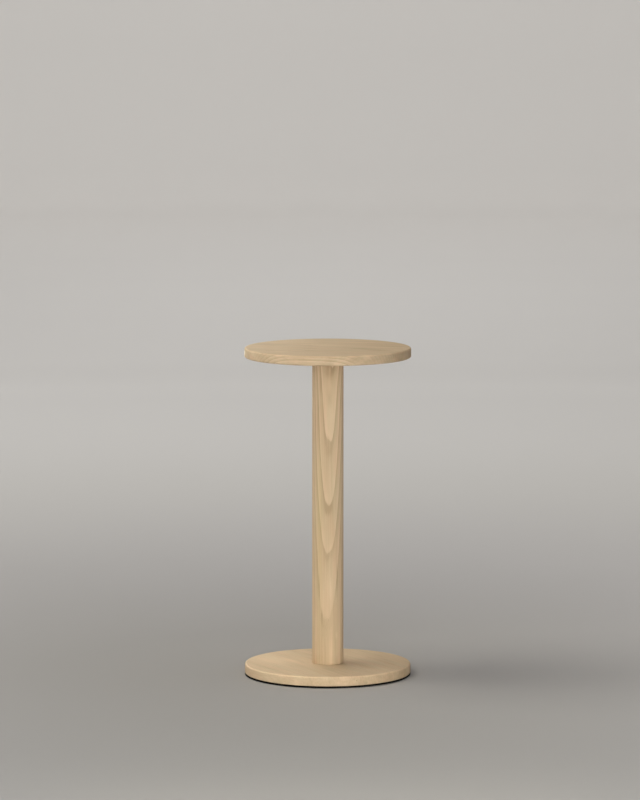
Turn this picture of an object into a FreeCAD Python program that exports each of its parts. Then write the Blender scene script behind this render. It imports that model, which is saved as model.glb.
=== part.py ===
import FreeCAD, Part
import math
import os

from FreeCAD import Vector

# Round pedestal drinks table: two equal oak discs joined by an oak column.
# All lengths are millimetres. +Z is up, the floor is z = 0 and the column's
# axis is the Z axis. The front of the table faces -Y.

# ---------------------------------------------------------------- driving sizes
table_diameter = 305.0          # table top and base disc
table_height = 606.0            # floor to top surface
disc_thickness = 17.8           # table top and base disc
disc_edge_radius = 3.0          # rounding on both edges of the top, upper edge of the base
base_lower_edge_radius = 1.5    # smaller rounding where the base meets its steel plate

post_diameter = 57.5
post_end_easing = 0.5           # broken edge at each end of the column
post_bore = 11.0                # clearance bore for the tie rod
post_boss_recess_d = 18.0       # counterbore that takes the threaded boss
post_boss_recess_depth = 14.0

ballast_thickness = 3.0         # steel plate under the base disc, flush with its rim
ballast_edge_radius = 0.4
ballast_access_d = 30.0         # hole in the steel plate, for the socket on the nut
pad_thickness = 0.8
pad_diameter = 20.0
pad_pitch_radius = 132.0
pad_count = 6

rod_d = 8.0                     # M8 tie rod, nominal thread diameter
rod_clearance_d = 9.0           # hole through the base disc
nut_recess_d = 26.0             # counterbore in the underside of the base disc
nut_recess_depth = 10.0
rod_end_chamfer = 0.8

flat_washer_d = 24.0            # large-series M8 washer
flat_washer_bore = 8.4
flat_washer_t = 2.0
spring_washer_d = 14.8          # split lock washer, drawn tightened flat
spring_washer_bore = 8.2
spring_washer_t = 2.0
spring_washer_gap = 1.4
nut_across_flats = 13.0
nut_height = 6.5

mount_plate_l = 46.0            # steel plate let into the underside of the table top
mount_plate_w = 24.0
mount_plate_t = 4.0
mount_plate_corner = 4.0
mount_pocket_clearance = 0.25
mount_boss_d = 16.0             # threaded boss welded to the plate
mount_boss_h = 12.0
mount_weld_fillet = 0.8
mount_screw_x = 17.0            # four screws on a rectangle
mount_screw_y = 6.5
mount_screw_d = 3.5
mount_screw_l = 12.0
mount_screw_head_d = 7.0

ballast_screw_d = 4.0
ballast_screw_l = 14.0
ballast_screw_head_d = 8.0
ballast_screw_radius = 118.0
ballast_screw_count = 6
screw_rim = 0.3                 # short straight rim on a countersunk head
screw_hole_slack = 0.25         # radial clearance of the screw's hole in steel

dowel_d = 8.0
dowel_offset = 20.0             # dowels sit on the Y axis, either side of the rod
dowel_chamfer = 0.7
dowel_hole_slack = 0.5          # extra depth at each end of a dowel
top_dowel_in_disc = 10.0
top_dowel_in_post = 10.0
base_dowel_in_disc = 12.0
base_dowel_in_post = 16.0

# ---------------------------------------------------------------- levels
z_plate = pad_thickness
z_base = z_plate + ballast_thickness
z_base_top = z_base + disc_thickness
z_top_under = table_height - disc_thickness
z_nut_seat = z_base + nut_recess_depth
R = table_diameter / 2.0

os.makedirs("parts", exist_ok=True)
Z = Vector(0, 0, 1)


def cyl(radius, z0, z1, x=0.0, y=0.0):
    """Upright cylinder from z0 to z1."""
    return Part.makeCylinder(radius, z1 - z0, Vector(x, y, z0), Z)


def turned(profile):
    """Solid of revolution about Z from (radius, z) points joined by straight lines."""
    points = [Vector(r, 0, z) for r, z in profile]
    wire = Part.makePolygon(points + [points[0]])
    return Part.Face(wire).revolve(Vector(0, 0, 0), Z, 360.0)


def rim_edges(shape, radius, z, tol=1e-4):
    """Circular edges of the given radius, centred on Z, lying at height z."""
    found = []
    for edge in shape.Edges:
        curve = edge.Curve
        if isinstance(curve, Part.Circle) and abs(curve.Radius - radius) < tol:
            if abs(curve.Center.z - z) < tol and abs(curve.Center.x) < tol and abs(curve.Center.y) < tol:
                found.append(edge)
    return found


def round_disc(radius, z0, z1, r_low, r_high):
    """Disc with a rounded lower and upper edge."""
    disc = cyl(radius, z0, z1)
    disc = disc.makeFillet(r_high, rim_edges(disc, radius, z1))
    return disc.makeFillet(r_low, rim_edges(disc, radius, z0))


def rounded_bar(length, width, corner, z0, z1):
    """Upright block with a rounded-rectangle outline, centred on Z."""
    block = Part.makeBox(length, width, z1 - z0, Vector(-length / 2.0, -width / 2.0, z0))
    upright = [e for e in block.Edges
               if abs(e.Vertexes[0].X - e.Vertexes[1].X) < 1e-6 and abs(e.Vertexes[0].Y - e.Vertexes[1].Y) < 1e-6]
    return block.makeFillet(corner, upright)


def screw_blank(d, length, head_d):
    """Countersunk wood screw without its drive recess: head face at z = 0, shank towards +Z."""
    r, rh = d / 2.0, head_d / 2.0
    tip = 1.3 * d
    return turned([(0, 0), (rh, 0), (rh, screw_rim), (r, screw_rim + rh - r), (r, length - tip),
                   (0.12 * r, length), (0, length)])


def screw_countersink(d, head_d, thickness):
    """Hole for that screw through a steel plate of the given thickness."""
    r, rh = d / 2.0, head_d / 2.0
    hole = r + screw_hole_slack
    return turned([(0, 0), (rh, 0), (rh, screw_rim), (hole, screw_rim + rh - hole), (hole, thickness),
                   (0, thickness)])


def cross_recess(head_d):
    """Tapered cross-shaped drive recess opening at z = 0."""
    span, web, depth = 0.56 * head_d, 0.13 * head_d, 0.24 * head_d
    cross = Part.makeBox(span, web, depth, Vector(-span / 2.0, -web / 2.0, 0))
    cross = cross.fuse(Part.makeBox(web, span, depth, Vector(-web / 2.0, -span / 2.0, 0)))
    taper = turned([(0, 0), (span / 2.0, 0), (0.55 * web, depth), (0, depth)])
    return cross.removeSplitter().common(taper)


def screw(d, length, head_d, turn=0.0):
    """Countersunk wood screw with a cross recess, turned about its own axis."""
    made = screw_blank(d, length, head_d).cut(cross_recess(head_d))
    made.rotate(Vector(0, 0, 0), Z, turn)
    return made


def dowel(z0, z1, x, y):
    """Wooden dowel with chamfered ends."""
    r, c = dowel_d / 2.0, dowel_chamfer
    made = turned([(0, 0), (r - c, 0), (r, c), (r, z1 - z0 - c), (r - c, z1 - z0), (0, z1 - z0)])
    made.translate(Vector(x, y, z0))
    return made


def placed(shape, x, y, z):
    made = shape.copy()
    made.translate(Vector(x, y, z))
    return made


def on_circle(radius, count, start_deg):
    """Points evenly spaced round Z."""
    return [(radius * math.cos(math.radians(start_deg + 360.0 * i / count)),
             radius * math.sin(math.radians(start_deg + 360.0 * i / count))) for i in range(count)]


nodes = {}

# ---------------------------------------------------------------- fastener places
mount_screw_places = [(sx * mount_screw_x, sy * mount_screw_y) for sx in (-1, 1) for sy in (-1, 1)]
ballast_screw_places = on_circle(ballast_screw_radius, ballast_screw_count, 30.0)
pad_places = on_circle(pad_pitch_radius, pad_count, 0.0)
dowel_places = [(0.0, -dowel_offset), (0.0, dowel_offset)]

# ---------------------------------------------------------------- table top
# Solid oak disc. Its underside holds a pocket for the mounting plate, four
# screw holes above the pocket and two blind dowel holes.
top = round_disc(R, z_top_under, table_height, disc_edge_radius, disc_edge_radius)
c = mount_pocket_clearance
top = top.cut(rounded_bar(mount_plate_l + 2 * c, mount_plate_w + 2 * c, mount_plate_corner + c,
                          z_top_under, z_top_under + mount_plate_t))
for x, y in mount_screw_places:
    top = top.cut(placed(screw_blank(mount_screw_d, mount_screw_l, mount_screw_head_d), x, y, z_top_under))
for x, y in dowel_places:
    top = top.cut(cyl(dowel_d / 2.0, z_top_under, z_top_under + top_dowel_in_disc + dowel_hole_slack, x, y))
nodes["table_top"] = top

# ---------------------------------------------------------------- mounting plate
# Flat steel plate, flush with the underside of the table top, with a threaded
# boss welded below it. The boss reaches down into the column.
plate = rounded_bar(mount_plate_l, mount_plate_w, mount_plate_corner, z_top_under, z_top_under + mount_plate_t)
boss = cyl(mount_boss_d / 2.0, z_top_under - mount_boss_h, z_top_under)
plate = plate.fuse(boss).removeSplitter()
plate = plate.makeFillet(mount_weld_fillet, rim_edges(plate, mount_boss_d / 2.0, z_top_under))
plate = plate.cut(cyl(rod_d / 2.0, z_top_under - mount_boss_h, z_top_under + mount_plate_t))
for x, y in mount_screw_places:
    plate = plate.cut(placed(screw_countersink(mount_screw_d, mount_screw_head_d, mount_plate_t), x, y, z_top_under))
nodes["top_mounting_plate"] = plate

nodes["mounting_plate_screws"] = Part.Compound(
    [placed(screw(mount_screw_d, mount_screw_l, mount_screw_head_d, 20.0 + 37.0 * i), x, y, z_top_under)
     for i, (x, y) in enumerate(mount_screw_places)])

nodes["top_dowels"] = Part.Compound(
    [dowel(z_top_under - top_dowel_in_post, z_top_under + top_dowel_in_disc, x, y) for x, y in dowel_places])

# ---------------------------------------------------------------- column
# Turned oak post, bored end to end for the tie rod, counterbored at its top for
# the boss and drilled at both ends for the dowels.
r, e = post_diameter / 2.0, post_end_easing
post = turned([(0, z_base_top), (r - e, z_base_top), (r, z_base_top + e), (r, z_top_under - e),
               (r - e, z_top_under), (0, z_top_under)])
post = post.cut(cyl(post_bore / 2.0, z_base_top, z_top_under))
post = post.cut(cyl(post_boss_recess_d / 2.0, z_top_under - post_boss_recess_depth, z_top_under))
for x, y in dowel_places:
    post = post.cut(cyl(dowel_d / 2.0, z_top_under - top_dowel_in_post - dowel_hole_slack, z_top_under, x, y))
    post = post.cut(cyl(dowel_d / 2.0, z_base_top, z_base_top + base_dowel_in_post + dowel_hole_slack, x, y))
nodes["post"] = post

# ---------------------------------------------------------------- tie rod
# M8 rod screwed into the boss, down the column and out through the base disc.
rod_low, rod_high = 2.0, z_top_under + mount_plate_t - 0.5
r, e = rod_d / 2.0, rod_end_chamfer
nodes["tie_rod"] = turned([(0, rod_low), (r - e, rod_low), (r, rod_low + e), (r, rod_high - e),
                           (r - e, rod_high), (0, rod_high)])

nodes["base_dowels"] = Part.Compound(
    [dowel(z_base_top - base_dowel_in_disc, z_base_top + base_dowel_in_post, x, y) for x, y in dowel_places])

# ---------------------------------------------------------------- base disc
# Solid oak disc with a clearance hole and a nut recess below it.
base = round_disc(R, z_base, z_base_top, base_lower_edge_radius, disc_edge_radius)
base = base.cut(cyl(rod_clearance_d / 2.0, z_base, z_base_top))
base = base.cut(cyl(nut_recess_d / 2.0, z_base, z_nut_seat))
for x, y in dowel_places:
    base = base.cut(cyl(dowel_d / 2.0, z_base_top - base_dowel_in_disc - dowel_hole_slack, z_base_top, x, y))
for x, y in ballast_screw_places:
    base = base.cut(placed(screw_blank(ballast_screw_d, ballast_screw_l, ballast_screw_head_d), x, y, z_plate))
nodes["base_disc"] = base

# ---------------------------------------------------------------- clamping hardware
z = z_nut_seat
nodes["flat_washer"] = cyl(flat_washer_d / 2.0, z - flat_washer_t, z).cut(
    cyl(flat_washer_bore / 2.0, z - flat_washer_t, z))
z -= flat_washer_t

ring = cyl(spring_washer_d / 2.0, z - spring_washer_t, z).cut(cyl(spring_washer_bore / 2.0, z - spring_washer_t, z))
slit = Part.makeBox(spring_washer_d, spring_washer_gap, 3 * spring_washer_t,
                    Vector(0, -spring_washer_gap / 2.0, z - 2 * spring_washer_t))
slit.rotate(Vector(0, 0, z - spring_washer_t / 2.0), Vector(1, 0, 0), 20.0)
slit.rotate(Vector(0, 0, 0), Z, -70.0)
nodes["spring_washer"] = ring.cut(slit)
z -= spring_washer_t

corner = nut_across_flats / math.sqrt(3.0)
hexagon = Part.makePolygon([Vector(corner * math.cos(math.radians(60.0 * i + 15.0)),
                                   corner * math.sin(math.radians(60.0 * i + 15.0)), z - nut_height)
                            for i in range(7)])
nut = Part.Face(hexagon).extrude(Vector(0, 0, nut_height))
drop = (corner - 0.475 * nut_across_flats) * math.tan(math.radians(30.0))
nut = nut.common(turned([(0, z - nut_height), (0.475 * nut_across_flats, z - nut_height),
                         (corner, z - nut_height + drop), (corner, z - drop),
                         (0.475 * nut_across_flats, z), (0, z)]))
nodes["hex_nut"] = nut.cut(cyl(rod_d / 2.0, z - nut_height, z))

# ---------------------------------------------------------------- ballast plate
# Steel disc, flush with the rim of the base, held by six countersunk screws.
ballast = round_disc(R, z_plate, z_base, ballast_edge_radius, ballast_edge_radius)
ballast = ballast.cut(cyl(ballast_access_d / 2.0, z_plate, z_base))
for x, y in ballast_screw_places:
    ballast = ballast.cut(
        placed(screw_countersink(ballast_screw_d, ballast_screw_head_d, ballast_thickness), x, y, z_plate))
nodes["ballast_plate"] = ballast

nodes["ballast_plate_screws"] = Part.Compound(
    [placed(screw(ballast_screw_d, ballast_screw_l, ballast_screw_head_d, 12.0 + 49.0 * i), x, y, z_plate)
     for i, (x, y) in enumerate(ballast_screw_places)])

# ---------------------------------------------------------------- floor pads
nodes["floor_pads"] = Part.Compound([cyl(pad_diameter / 2.0, 0.0, pad_thickness, x, y) for x, y in pad_places])

# ---------------------------------------------------------------- write
for name, shape in nodes.items():
    if not shape.isValid():
        raise RuntimeError(name + " is not valid")
    for solid in shape.Solids:
        if not solid.isClosed() or solid.Volume <= 0:
            raise RuntimeError(name + " has an open or empty solid")
    shape.exportStep("parts/" + name + ".step")
    box = shape.BoundBox
    print("%-22s %2d solid(s)  %10.1f mm3  x %.2f..%.2f  y %.2f..%.2f  z %.2f..%.2f" % (
        name, len(shape.Solids), shape.Volume, box.XMin, box.XMax, box.YMin, box.YMax, box.ZMin, box.ZMax))
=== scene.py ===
import math

import bmesh
import bpy
import numpy as np
from mathutils import Matrix, Vector


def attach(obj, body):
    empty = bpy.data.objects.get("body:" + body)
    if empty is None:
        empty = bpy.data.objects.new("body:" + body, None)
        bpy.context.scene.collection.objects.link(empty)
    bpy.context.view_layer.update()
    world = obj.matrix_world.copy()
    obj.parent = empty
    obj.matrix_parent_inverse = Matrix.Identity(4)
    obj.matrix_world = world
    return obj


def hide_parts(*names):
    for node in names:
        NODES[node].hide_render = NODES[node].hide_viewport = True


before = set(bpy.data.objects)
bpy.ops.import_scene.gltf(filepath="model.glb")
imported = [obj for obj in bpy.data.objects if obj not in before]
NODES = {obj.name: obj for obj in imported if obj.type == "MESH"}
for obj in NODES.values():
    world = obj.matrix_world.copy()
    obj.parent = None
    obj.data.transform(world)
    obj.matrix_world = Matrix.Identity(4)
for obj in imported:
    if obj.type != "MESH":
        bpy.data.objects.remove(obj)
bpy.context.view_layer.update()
MM = 0.001

# ---------------------------------------------------------------- sizes, as in the CAD model (mm)
TABLE_D = 305.0
HEIGHT = 606.0
DISC_T = 17.8
EDGE_R = 3.0
BASE_LOW_R = 1.5
POST_D = 57.5
POST_EASE = 0.5
Z_PLATE, Z_BASE, Z_BASE_TOP, Z_UNDER = 0.8, 3.8, 21.6, 588.2
FRONT_TURN = math.radians(5.1)      # the column's cathedral figure faces a little to the right
SEGMENTS = 384


# ================================================================ node maths
class Val:
    """A socket that can be used in sums."""

    def __init__(self, net, socket):
        self.net, self.socket = net, socket

    def __add__(self, o): return self.net.math("ADD", self, o)
    def __radd__(self, o): return self.net.math("ADD", o, self)
    def __sub__(self, o): return self.net.math("SUBTRACT", self, o)
    def __rsub__(self, o): return self.net.math("SUBTRACT", o, self)
    def __mul__(self, o): return self.net.math("MULTIPLY", self, o)
    def __rmul__(self, o): return self.net.math("MULTIPLY", o, self)
    def __truediv__(self, o): return self.net.math("DIVIDE", self, o)
    def __neg__(self): return self.net.math("MULTIPLY", self, -1.0)


class Net:
    """Writes a material's nodes."""

    def __init__(self, material):
        self.tree = material.node_tree
        self.nodes, self.links = self.tree.nodes, self.tree.links
        self.count = 0

    def node(self, kind, **props):
        made = self.nodes.new(kind)
        for key, value in props.items():
            setattr(made, key, value)
        made.location = (180 * (self.count // 8) - 6000, -190 * (self.count % 8))
        self.count += 1
        return made

    def put(self, socket, value):
        if value is None:
            return
        if isinstance(value, Val):
            value = value.socket
        if isinstance(value, bpy.types.NodeSocket):
            self.links.new(value, socket)
        else:
            socket.default_value = value

    def math(self, operation, a, b=None, c=None, clamp=False):
        n = self.node("ShaderNodeMath", operation=operation, use_clamp=clamp)
        for i, v in enumerate((a, b, c)):
            self.put(n.inputs[i], v)
        return Val(self, n.outputs[0])

    def smooth(self, x, low, high, to_low=0.0, to_high=1.0):
        """Smooth step from to_low at low to to_high at high."""
        n = self.node("ShaderNodeMapRange", interpolation_type="SMOOTHSTEP", clamp=True)
        for i, v in enumerate((x, low, high, to_low, to_high)):
            self.put(n.inputs[i], v)
        return Val(self, n.outputs[0])

    def ramp(self, x, low, high, to_low=0.0, to_high=1.0):
        """Straight ramp, held at its ends."""
        n = self.node("ShaderNodeMapRange", interpolation_type="LINEAR", clamp=True)
        for i, v in enumerate((x, low, high, to_low, to_high)):
            self.put(n.inputs[i], v)
        return Val(self, n.outputs[0])

    def vec(self, x, y, z):
        n = self.node("ShaderNodeCombineXYZ")
        for i, v in enumerate((x, y, z)):
            self.put(n.inputs[i], v)
        return n.outputs[0]

    def split(self, vector):
        n = self.node("ShaderNodeSeparateXYZ")
        self.put(n.inputs[0], vector)
        return [Val(self, o) for o in n.outputs]

    def noise(self, vector, scale=1.0, detail=2.0, rough=0.5, distort=0.0):
        """Noise about 0, mostly within -0.5 to 0.5."""
        n = self.node("ShaderNodeTexNoise", noise_dimensions="3D")
        n.normalize = True
        self.put(n.inputs["Vector"], vector)
        n.inputs["Scale"].default_value = scale
        n.inputs["Detail"].default_value = detail
        n.inputs["Roughness"].default_value = rough
        n.inputs["Distortion"].default_value = distort
        return Val(self, n.outputs["Fac"]) - 0.5

    def noise1(self, x, scale=1.0, detail=1.0):
        n = self.node("ShaderNodeTexNoise", noise_dimensions="1D")
        n.normalize = True
        self.put(n.inputs["W"], x)
        n.inputs["Scale"].default_value = scale
        n.inputs["Detail"].default_value = detail
        return Val(self, n.outputs["Fac"]) - 0.5

    def white(self, x):
        n = self.node("ShaderNodeTexWhiteNoise", noise_dimensions="1D")
        self.put(n.inputs["W"], x)
        return Val(self, n.outputs["Value"])

    def cells(self, vector, scale=1.0, randomness=1.0):
        """Distance to the nearest cell point."""
        n = self.node("ShaderNodeTexVoronoi", voronoi_dimensions="3D", feature="F1", distance="EUCLIDEAN")
        self.put(n.inputs["Vector"], vector)
        n.inputs["Scale"].default_value = scale
        n.inputs["Randomness"].default_value = randomness
        return Val(self, n.outputs["Distance"]), n.outputs["Color"]

    def mix(self, fac, a, b, blend="MIX"):
        n = self.node("ShaderNodeMix", data_type="RGBA", blend_type=blend)
        self.put(n.inputs[0], fac)
        self.put(n.inputs[6], a)
        self.put(n.inputs[7], b)
        return n.outputs[2]


def new_material(name):
    """Empty node material with one Principled shader."""
    m = bpy.data.materials.new(name)
    m.use_nodes = True
    m.node_tree.nodes.clear()
    net = Net(m)
    out = net.node("ShaderNodeOutputMaterial")
    shader = net.node("ShaderNodeBsdfPrincipled")
    net.links.new(shader.outputs[0], out.inputs[0])
    return m, net, shader


def place_mm(net):
    """The point's place in millimetres."""
    coord = net.node("ShaderNodeTexCoord")
    n = net.node("ShaderNodeVectorMath", operation="SCALE")
    net.links.new(coord.outputs["Object"], n.inputs[0])
    n.inputs["Scale"].default_value = 1000.0
    return net.split(n.outputs[0])


def srgb(r, g, b):
    """Linear colour from 0-255 display values."""
    return tuple((v / 255 / 12.92 if v <= 10.31 else ((v / 255 + 0.055) / 1.055) ** 2.4) for v in (r, g, b)) + (1.0,)


# ================================================================ oak
def oak(name, grain, light, dark, seed=0.0, contrast=1.0, end_tone=0.93, fleck=1.0):
    """White oak with a matte lacquer. grain(net, x, y, z), in mm, gives the growth ring number at a point, its
    place along the trunk and across it (round and outwards), how strongly the rings show there, listed darker and
    paler marks, partly grain and partly painted shade and painted light, and the trunk's direction."""
    m, net, shader = new_material(name)
    x, y, z = place_mm(net)
    g = grain(net, x, y, z)
    along, tang, radial = g["along"], g["tang"], g["radial"]

    # waviness of the growth rings, long along the trunk
    slow = net.noise(net.vec(tang / 34.0, radial / 34.0, along / 160.0 + seed), detail=1.0)
    quick = net.noise(net.vec(tang / 7.0, radial / 7.0, along / 48.0 + seed), detail=2.0)
    ring = g["ring"] + slow * g.get("sway", 0.10) + quick * g.get("ripple", 0.085)

    n = net.math("FLOOR", ring)
    f = ring - n
    year = net.white(n + (17.3 + seed))

    # across one year: dark open earlywood, then a slow fade to pale, dense latewood
    profile = net.node("ShaderNodeValToRGB")
    net.put(profile.inputs[0], f)
    stops = [(0.0, 0.80), (0.035, 1.0), (0.11, 0.92), (0.22, 0.64), (0.38, 0.49), (0.58, 0.36), (0.76, 0.20),
             (0.955, 0.0), (1.0, 0.42)]
    ramp = profile.color_ramp
    ramp.interpolation = "LINEAR"
    while len(ramp.elements) < len(stops):
        ramp.elements.new(0.5)
    for element, (where, value) in zip(ramp.elements, stops):
        element.position = where
        element.color = (value, value, value, 1.0)
    early = Val(net, profile.outputs[0])
    patchy = net.noise(net.vec(tang / 5.0, radial / 5.0, along / 38.0 + seed * 7.0), detail=1.0)
    early = (early - 0.42) * (0.85 + year * 0.30 + patchy * 1.1) * g["contrast"]

    # long fibres, streaks and broad clouds
    fibre = net.noise(net.vec(tang / 0.55, radial / 0.55, along / 30.0 + seed), detail=3.0, rough=0.6)
    band = net.noise(net.vec(tang / 2.4, radial / 2.4, along / 110.0 + seed * 3.0), detail=2.0)
    cloud = net.noise(net.vec(tang / 22.0, radial / 22.0, along / 120.0 + seed * 5.0), detail=2.0)

    # vessels: thin tubes along the trunk, wide and crowded in the earlywood
    porous = net.smooth(f, 0.02, 0.36, 1.0, 0.0)
    d1, _ = net.cells(net.vec(tang / 0.9, radial / 0.9, along / 24.0 + seed))
    pore = net.smooth(d1 / (0.06 + porous * 0.17), 0.55, 1.05, 1.0, 0.0)
    d2, _ = net.cells(net.vec(tang / 0.45 + 3.7, radial / 0.45, along / 9.0))
    fine_pore = net.smooth(d2, 0.08, 0.20, 1.0, 0.0)

    # rays: thin ribbons that run outwards from the middle of the trunk
    d3, _ = net.cells(net.vec(tang / 1.0, radial / 14.0, along / 7.0 + seed))
    ray = net.smooth(d3, 0.10, 0.27, 1.0, 0.0)

    # how squarely the surface cuts across the trunk
    geometry = net.node("ShaderNodeNewGeometry")
    dot = net.node("ShaderNodeVectorMath", operation="DOT_PRODUCT")
    net.links.new(geometry.outputs["Normal"], dot.inputs[0])
    dot.inputs[1].default_value = g["axis"]
    end = net.smooth(net.math("ABSOLUTE", Val(net, dot.outputs["Value"])), 0.30, 0.98)

    d = 0.42 + early * (0.66 * contrast) + band * (0.62 * g.get("bands", 1.0)) + cloud * (0.36 * g.get("clouds", 1.0))
    mottle = net.noise(net.vec(x / 9.0, y / 9.0, z / 6.0 + seed), detail=2.0)
    d = d + fibre * 0.42 + mottle * end * g.get("mottle", 0.4)
    # listed darker and paler marks: grain marks, and in places painted shade and painted light
    if g.get("marks_and_painted_shading") is not None:
        d = d + g["marks_and_painted_shading"]
    colour = net.mix(net.math("MINIMUM", net.math("MAXIMUM", d, 0.0), 1.3), light, dark)
    colour = net.mix(ray * (0.13 * fleck), colour, tuple(c * 0.84 for c in light[:3]) + (1.0,))
    colour = net.mix(fine_pore * 0.10, colour, tuple(c * 0.66 for c in dark[:3]) + (1.0,))
    colour = net.mix(pore * (0.22 + porous * 0.22), colour, tuple(c * 0.52 for c in dark[:3]) + (1.0,))
    # a faint drift between a pinker and a yellower tint
    drift = net.noise(net.vec(tang / 15.0, radial / 15.0, along / 90.0 + 9.0 + seed), detail=1.0)
    colour = net.mix(net.smooth(drift, -0.2, 0.2), colour,
                     net.mix(1.0, colour, (1.03, 0.985, 0.985, 1.0), "MULTIPLY"))
    if g.get("yellow") is not None:
        colour = net.mix(g["yellow"], colour, net.mix(1.0, colour, (0.99, 1.0, 0.925, 1.0), "MULTIPLY"))
    shade = net.ramp(end, 0.0, 1.0, 1.0, end_tone)
    both = net.node("ShaderNodeCombineColor")
    for i in range(3):
        net.put(both.inputs[i], shade)
    colour = net.mix(1.0, colour, both.outputs[0], "MULTIPLY")

    # painted highlight: the rounded upper edge of the discs is painted a little paler where it turns from the rim to
    # the top face
    if g.get("edge"):
        upward = net.split(geometry.outputs["Normal"])[2]
        paler = net.smooth(upward, 0.04, 0.30) * net.smooth(upward, 0.90, 0.995, 1.0, 0.0) * g["edge"] + 1.0
        rim = net.node("ShaderNodeCombineColor")
        for i in range(3):
            net.put(rim.inputs[i], paler)
        colour = net.mix(1.0, colour, rim.outputs[0], "MULTIPLY")

    net.put(shader.inputs["Base Color"], colour)
    net.put(shader.inputs["Roughness"], 0.60 + early * 0.06 + pore * 0.16 + fibre * 0.07 + end * 0.06)
    shader.inputs["IOR"].default_value = 1.47
    shader.inputs["Specular IOR Level"].default_value = 0.04

    height = fibre * 0.012 - pore * 0.055 - early * 0.014 - fine_pore * 0.012 + ray * 0.004
    bump = net.node("ShaderNodeBump")
    bump.inputs["Strength"].default_value = 0.55
    bump.inputs["Distance"].default_value = 0.001
    net.put(bump.inputs["Height"], height)
    net.links.new(bump.outputs["Normal"], shader.inputs["Normal"])
    return m


def spot(net, a, b, a0, b0, wa, wb):
    """1 at (a0, b0), fading over wa one way and wb the other way."""
    p = net.math("MULTIPLY_ADD", a, 1.0 / wa, -a0 / wa)
    q = net.math("MULTIPLY_ADD", b, 1.0 / wb, -b0 / wb)
    return net.math("EXPONENT", net.math("MULTIPLY_ADD", p, p, q * q) * -1.0)


def column_grain(net, x, y, z):
    """Column: the trunk's middle is in front of it, and its rings slope slowly outwards going down, so the
    front shows a row of nested U figures. The ring number was fitted to them against depth u behind the front
    line, sideways place s and depth h below the table top."""
    c, s_ = math.cos(FRONT_TURN), math.sin(FRONT_TURN)
    u = POST_D / 2 - (x * s_ - y * c)
    s = x * c + y * s_
    h = Z_UNDER - z
    hh = (h - 300.0) / 200.0
    s10 = s * 0.1
    poly = net.math("MULTIPLY_ADD", hh, 0.1827, -0.0656)
    for k in (-0.6694, -0.2111, 1.5281, 2.7474):
        poly = net.math("MULTIPLY_ADD", poly, hh, k)
    bend = net.math("MULTIPLY_ADD", net.math("MULTIPLY_ADD", hh, 0.3579, 0.9003), hh, -0.6110)
    point = net.math("MULTIPLY_ADD", hh, -0.2408, 0.1481)
    slant = net.math("MULTIPLY_ADD", net.math("MULTIPLY_ADD", hh, -0.0462, 0.0922), hh, 0.0721)
    g = poly + u * 0.1038 + bend * net.math("EXPONENT", u * -0.2) + point * net.math("EXPONENT", u * -1.1111)
    g = g + slant * s10 + spot(net, s, h, 1.0, 384.0, 7.0, 45.0) * 0.054 - spot(net, s, h, 1.0, 273.0, 3.5, 35.0) * 0.049
    # closer rings behind
    past = u - 15.0
    g = g + (past + net.math("SQRT", past * past + 36.0)) * 0.056
    front = net.smooth(u, 14.0, 24.0, 1.0, 0.0)
    marks_and_painted_shading = (spot(net, s, h, -5.6, 277.0, 1.6, 9.0) * 0.55 + spot(net, s, h, -13.0, 480.0, 1.5, 13.0) * 0.50
               + spot(net, s, h, -17.6, 425.0, 1.2, 20.0) * 0.35 + spot(net, s, h, 14.6, 396.0, 1.3, 22.0) * 0.35
               # the darker patch just under the table top is partly dark earlywood and partly painted shade under the
               # top
               + spot(net, s, h, 0.0, 275.0, 9.0, 13.0) * 0.26 + spot(net, s, h, -2.0, 26.0, 9.0, 12.0) * 0.26
               + spot(net, s, h, 0.5, 72.0, 4.5, 14.0) * 0.30 + spot(net, s, h, -1.0, 172.0, 7.0, 10.0) * 0.16
               - spot(net, s, h, 2.6, 430.0, 4.0, 22.0) * 0.26 - spot(net, s, h, 13.8, 512.0, 2.2, 6.0) * 0.24
               - spot(net, s, h, -10.5, 440.0, 2.0, 34.0) * 0.18 - spot(net, s, h, 1.5, 20.0, 2.0, 6.0) * 0.30
               - spot(net, s, h, 2.6, 548.0, 2.4, 34.0) * 0.26 - spot(net, s, h, 19.5, 560.0, 3.0, 8.0) * 0.30
               + spot(net, s, h, -15.4, 48.0, 1.1, 24.0) * 0.40
               + spot(net, s, h, -6.5, 545.0, 4.0, 26.0) * 0.12 - spot(net, s, h, 4.0, 450.0, 9.0, 120.0) * 0.08
               # the last ramp is painted light: the column's front is painted darker on the left and paler on the right
               + net.ramp(h, 180.0, 320.0, -0.08, 0.06) + net.ramp(s, -26.0, 26.0, 0.13, -0.13))
    strong = net.ramp(h, 140.0, 330.0, 1.35, 0.84) * net.ramp(h, 380.0, 450.0, 1.0, 0.50)
    return dict(ring=g + 40.0, along=h, tang=s, radial=u, axis=(0.0, 0.0, 1.0), contrast=strong,
                marks_and_painted_shading=marks_and_painted_shading * front, sway=net.ramp(u, 8.0, 30.0, 0.05, 0.5),
                yellow=spot(net, s, h, -17.6, 310.0, 5.0, 170.0) * front)


def board_frame(net, x, y, z, heading, pith_v, pith_z, wander):
    """Places in a flat board sawn beside the trunk's middle, which runs level at the given heading. pith_v and
    pith_z are where that middle lies across the board and above the floor, in mm."""
    a = math.radians(heading)
    ca, sa = math.cos(a), math.sin(a)
    along = x * ca + y * sa
    across = y * ca - x * sa
    dv = across - pith_v + net.noise1(along / 130.0 + 3.1) * wander
    dz = z - pith_z + net.noise1(along / 150.0 + 8.3) * (wander * 0.5)
    r = net.math("SQRT", net.math("MULTIPLY_ADD", dv, dv, dz * dz))
    round_ = net.math("ARCTAN2", dz, dv) * 120.0
    return along, across, r, round_, (ca, sa, 0.0)


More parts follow.
